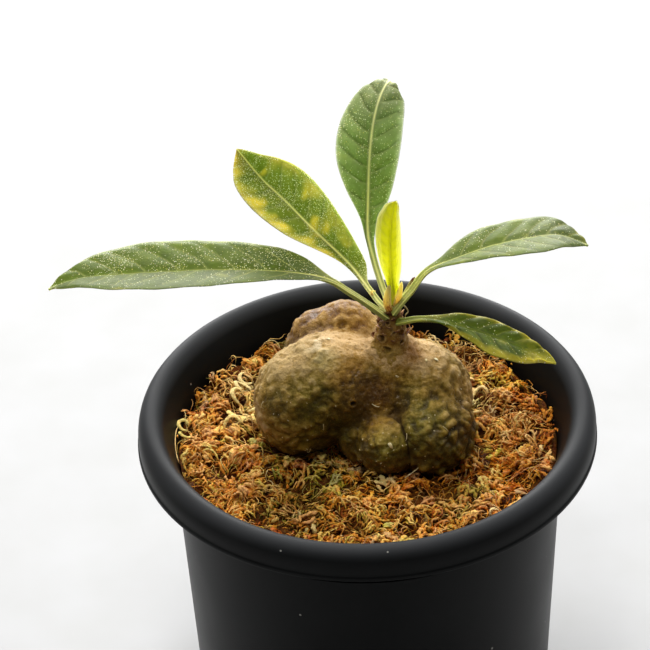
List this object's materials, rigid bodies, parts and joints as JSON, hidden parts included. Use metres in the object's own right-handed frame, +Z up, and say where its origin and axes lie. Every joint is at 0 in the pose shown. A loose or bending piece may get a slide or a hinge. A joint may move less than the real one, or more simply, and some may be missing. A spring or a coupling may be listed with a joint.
{
  "type": "potted ant plant",
  "caption": "Ant plant with a lobed, warty caudex and long arching leaves, set in sphagnum moss in a round plastic nursery pot.",
  "frame": {"origin": "centre of the pot's flat base, on the surface that it stands on", "axes": "+Z up along the pot's axis; the plant is looked at from -Y, and its longest leaf reaches towards -X"},
  "size_m": [0.1746, 0.15, 0.2287],
  "materials": {
    "pot_plastic": "satin black polypropylene",
    "dry_moss": null,
    "caudex_bark": "dull skin with warts",
    "green_leaf": null,
    "yellowing_leaf": null,
    "young_leaf": null,
    "bud_scale": null
  },
  "bodies": {
    "root": {"pot": "pot_plastic", "moss": "dry_moss", "caudex": "caudex_bark", "leaf_left": "green_leaf", "leaf_back_left": "yellowing_leaf", "leaf_back": "green_leaf", "leaf_right": "green_leaf", "leaf_low_right": "green_leaf", "leaf_young": "young_leaf", "bud_scale_left": "bud_scale", "bud_scale_right": "bud_scale", "petiole_stub": "bud_scale"}
  },
  "joints": []
}
